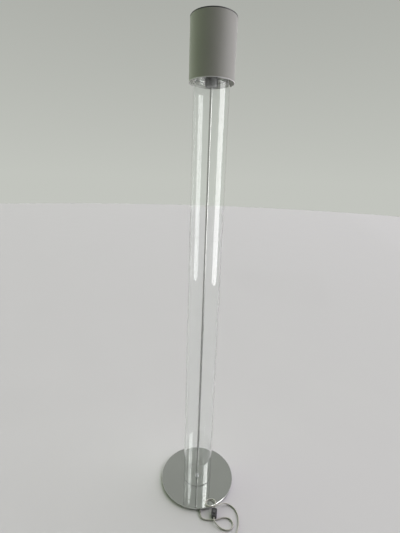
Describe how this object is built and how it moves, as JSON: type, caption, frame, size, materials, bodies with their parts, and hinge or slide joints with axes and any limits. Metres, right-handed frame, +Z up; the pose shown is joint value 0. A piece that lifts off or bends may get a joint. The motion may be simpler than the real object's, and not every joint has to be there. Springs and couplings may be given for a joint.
{
  "type": "floor lamp",
  "caption": "Column floor lamp: clear tube round a slim centre rod on a mirror-polished disc base, cylindrical drum shade on top, with a corded inline rocker switch.",
  "frame": {"origin": "on the floor, at the centre of the round base, under the tube's axis", "axes": "+Z up along the tube, -Y towards the front, where the cord leaves the base"},
  "size_m": [0.2977, 0.4687, 1.621],
  "materials": {
    "mirror_steel": "polished",
    "dark_felt": "matte",
    "clear_rubber": "satin",
    "zinc": "satin",
    "grey_rubber": "matte",
    "cord_grey": "satin",
    "clear_acrylic": "polished",
    "rod_chrome": "polished",
    "core_plastic": "matte",
    "holder_plastic": "satin",
    "ceramic": "matte",
    "brass": "satin",
    "bulb_metal": "satin",
    "black_glass": "gloss",
    "opal_glass": "satin",
    "shade_laminate": "satin",
    "dark_edge": "satin",
    "pale_edge": "satin",
    "white_wire": "satin",
    "switch_plastic": "satin",
    "rocker_plastic": "satin",
    "plug_plastic": "satin",
    "pin_metal": "polished"
  },
  "bodies": {
    "lamp": {"base_plate": "mirror_steel", "base_felt": "dark_felt", "tube_gasket": "clear_rubber", "foot_washer": "zinc", "foot_nut": "zinc", "base_washer": "zinc", "lock_nut": "zinc", "cord_clamp": "zinc", "clamp_screws": "zinc", "cord_bush": "grey_rubber", "cord_in_base": "cord_grey", "clear_tube": "clear_acrylic", "centre_rod": "rod_chrome", "core_wires": "core_plastic", "cap_gasket": "clear_rubber", "tube_cap": "clear_acrylic", "holder_cup": "holder_plastic", "holder_body": "holder_plastic", "holder_ring": "holder_plastic", "contact_block": "ceramic", "centre_contact": "brass", "side_contact": "brass", "screw_shell": "brass", "switch_base": "switch_plastic", "switch_cover": "switch_plastic", "switch_screws": "zinc", "switch_contacts": "brass", "cord_to_switch": "cord_grey", "cord_to_coil": "cord_grey", "cord_coil": "cord_grey", "cord_to_plug": "cord_grey", "plug_body": "plug_plastic", "plug_pins": "pin_metal"},
    "shade": {"shade_wall": "shade_laminate", "shade_top_ring": "dark_edge", "shade_bottom_ring": "pale_edge", "shade_carrier": "white_wire"},
    "bulb": {"bulb_contact": "bulb_metal", "bulb_insulator": "black_glass", "bulb_cap": "bulb_metal", "bulb_envelope": "opal_glass"},
    "rocker": {"switch_rocker": "rocker_plastic"}
  },
  "joints": [
    {"name": "shade_lift", "type": "slide", "parent": "lamp", "child": "shade", "axis": [0, 0, 1], "range_m": [0, 0.165]},
    {"name": "bulb_unscrew", "type": "slide", "parent": "lamp", "child": "bulb", "axis": [0, 0, 1], "range_m": [0, 0.028]},
    {"name": "rocker_tilt", "type": "hinge", "parent": "lamp", "child": "rocker", "pos_m": [0.065, -0.1585, 0.0132], "axis": [0.9945, -0.1045, 0], "range_deg": [0, 16]}
  ]
}
